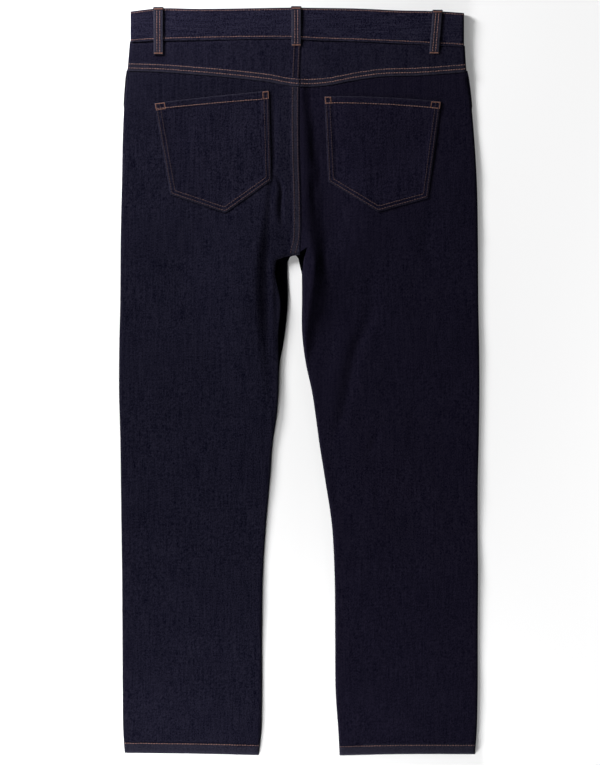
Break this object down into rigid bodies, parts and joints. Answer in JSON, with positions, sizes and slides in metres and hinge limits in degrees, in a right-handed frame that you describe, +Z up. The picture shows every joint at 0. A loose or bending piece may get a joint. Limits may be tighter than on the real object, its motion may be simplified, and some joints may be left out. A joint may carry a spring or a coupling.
{
  "type": "straight leg jeans",
  "caption": "Dark indigo straight leg jeans laid flat back side up, with yoke, waistband, belt loops and patch pockets.",
  "frame": {"origin": "on the surface the jeans lie on, under the middle of their box", "axes": "+Z up out of the back of the garment, +Y from the hems to the waist, +X towards the wearer's right"},
  "size_m": [0.4722, 0.9807, 0.0176],
  "materials": {
    "denim": "raw dark indigo stretch denim, matt with a faint nap",
    "thread": "tan core-spun topstitching thread",
    "zip_tape": "woven navy tape",
    "trim_metal": "aged copper-brass"
  },
  "bodies": {
    "root": {"waistband": "denim", "belt_loop_back_left": "denim", "belt_loop_back_centre": "denim", "belt_loop_back_right": "denim", "belt_loop_front_left": "denim", "belt_loop_front_right": "denim", "yoke_left": "denim", "yoke_right": "denim", "back_leg_left": "denim", "back_leg_right": "denim", "back_pocket_left": "denim", "back_pocket_right": "denim", "front_leg_left": "denim", "front_leg_right": "denim", "pocket_facing_left": "denim", "pocket_facing_right": "denim", "fly_zip": "zip_tape", "zip_slider": "trim_metal", "waist_button": "trim_metal"}
  },
  "joints": []
}
